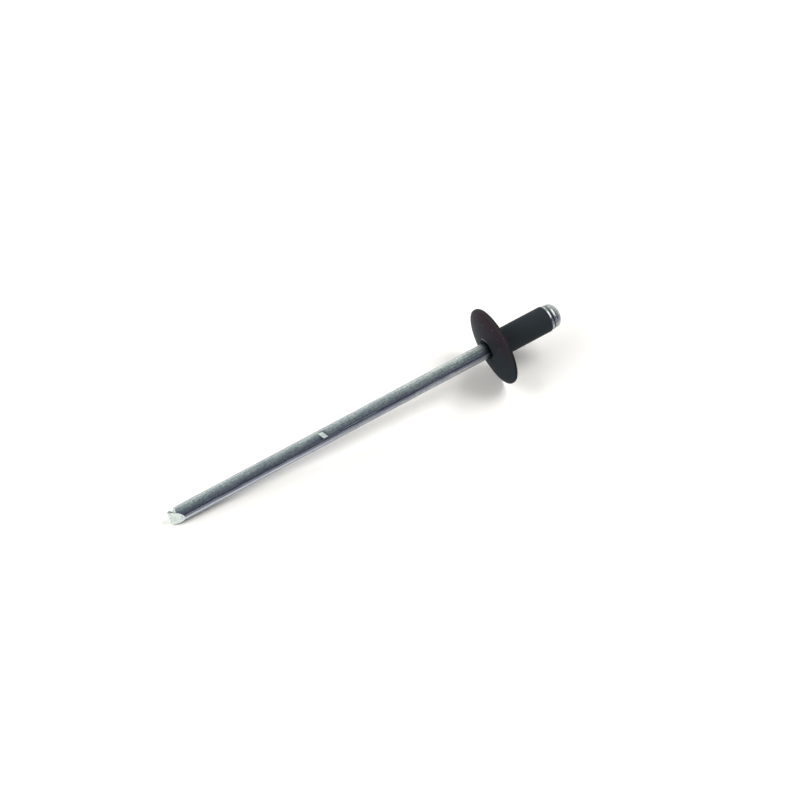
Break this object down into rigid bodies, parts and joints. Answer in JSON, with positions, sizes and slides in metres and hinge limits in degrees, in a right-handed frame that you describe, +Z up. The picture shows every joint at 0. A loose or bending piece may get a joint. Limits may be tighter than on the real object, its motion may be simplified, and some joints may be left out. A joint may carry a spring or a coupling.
{
  "type": "pop rivet",
  "caption": "Unset open-end blind rivet with a wide domed flange, a straight hollow shank, and a long mandrel with a pinched tip and a domed head.",
  "frame": {"origin": "centre of the shank at the flange's bearing face, on the rivet's axis", "axes": "+Z up; the rivet lies on its flange's rim and its mandrel's tip, so +X runs over the ground from the tip towards the head and the rivet's own axis rises 5.18 degrees above +X"},
  "size_m": [0.065, 0.012, 0.012],
  "materials": {
    "black_paint": "satin",
    "zinc_plated_steel": "satin"
  },
  "bodies": {
    "root": {"rivet_body": "black_paint", "mandrel": "zinc_plated_steel"}
  },
  "joints": []
}
